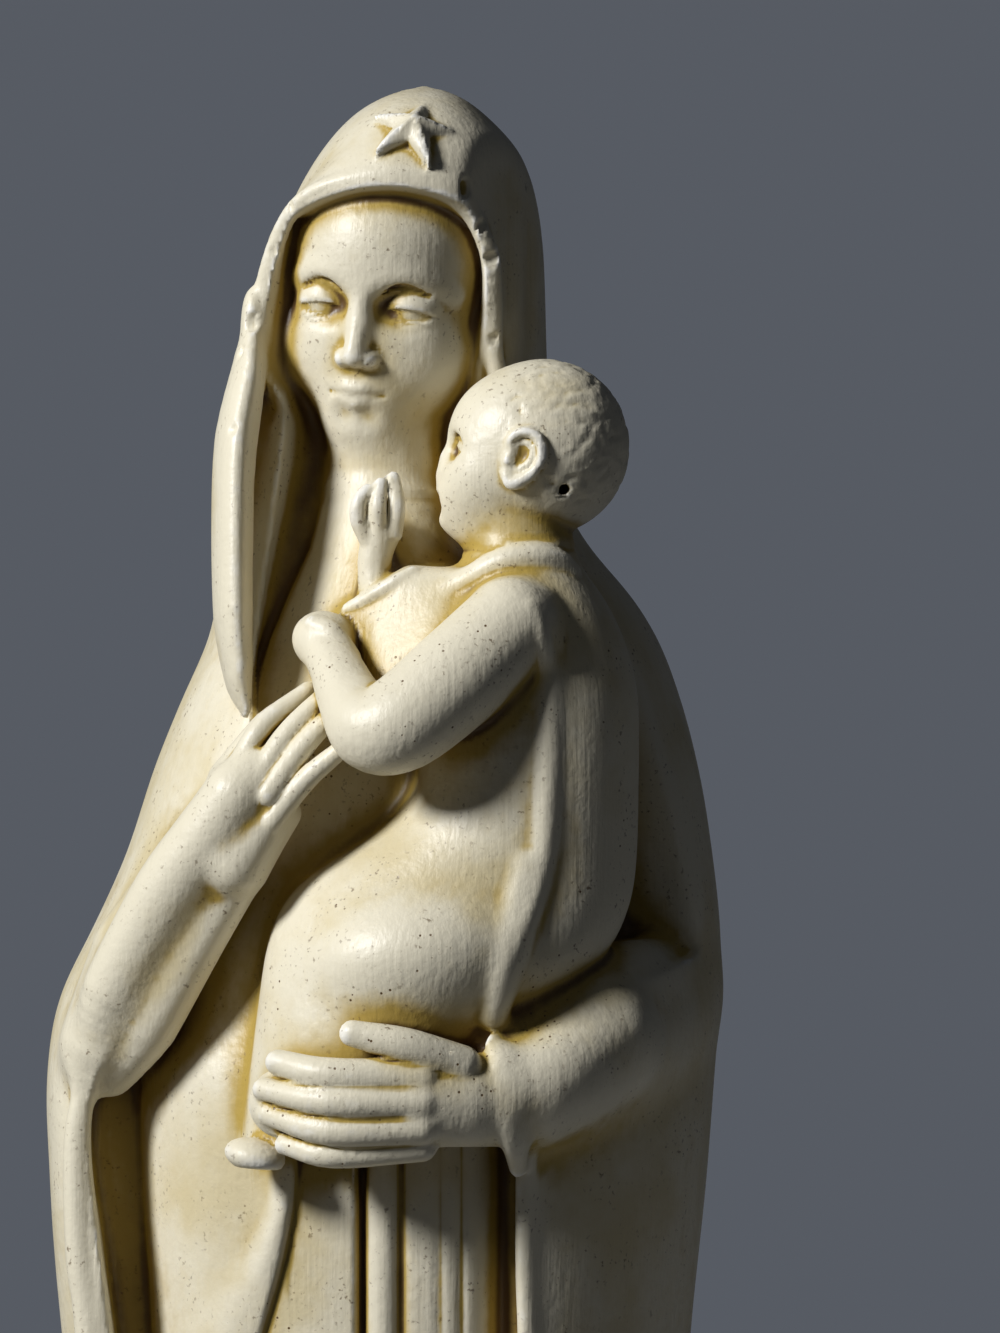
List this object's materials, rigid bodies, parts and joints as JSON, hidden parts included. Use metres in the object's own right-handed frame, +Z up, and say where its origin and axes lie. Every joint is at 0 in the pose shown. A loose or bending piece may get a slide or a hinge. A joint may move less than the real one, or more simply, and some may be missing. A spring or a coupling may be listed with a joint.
{
  "type": "virgin and child statue",
  "caption": "Veiled standing figure that carries a small child on one arm, in draped robes, cast in one piece with a low oval base.",
  "frame": {"origin": "centre of the overall box in plan, at the underside of the base", "axes": "+Z up along the height of the figure; the figure faces -Y; +X is its left side, where it carries the child"},
  "size_m": [0.1068, 0.0977, 0.4],
  "materials": {
    "ivory_plaster": "cast plaster with an ivory patina, ochre in the hollows, rubbed to a satin sheen"
  },
  "bodies": {
    "root": {"virgin_and_child": "ivory_plaster"}
  },
  "joints": []
}
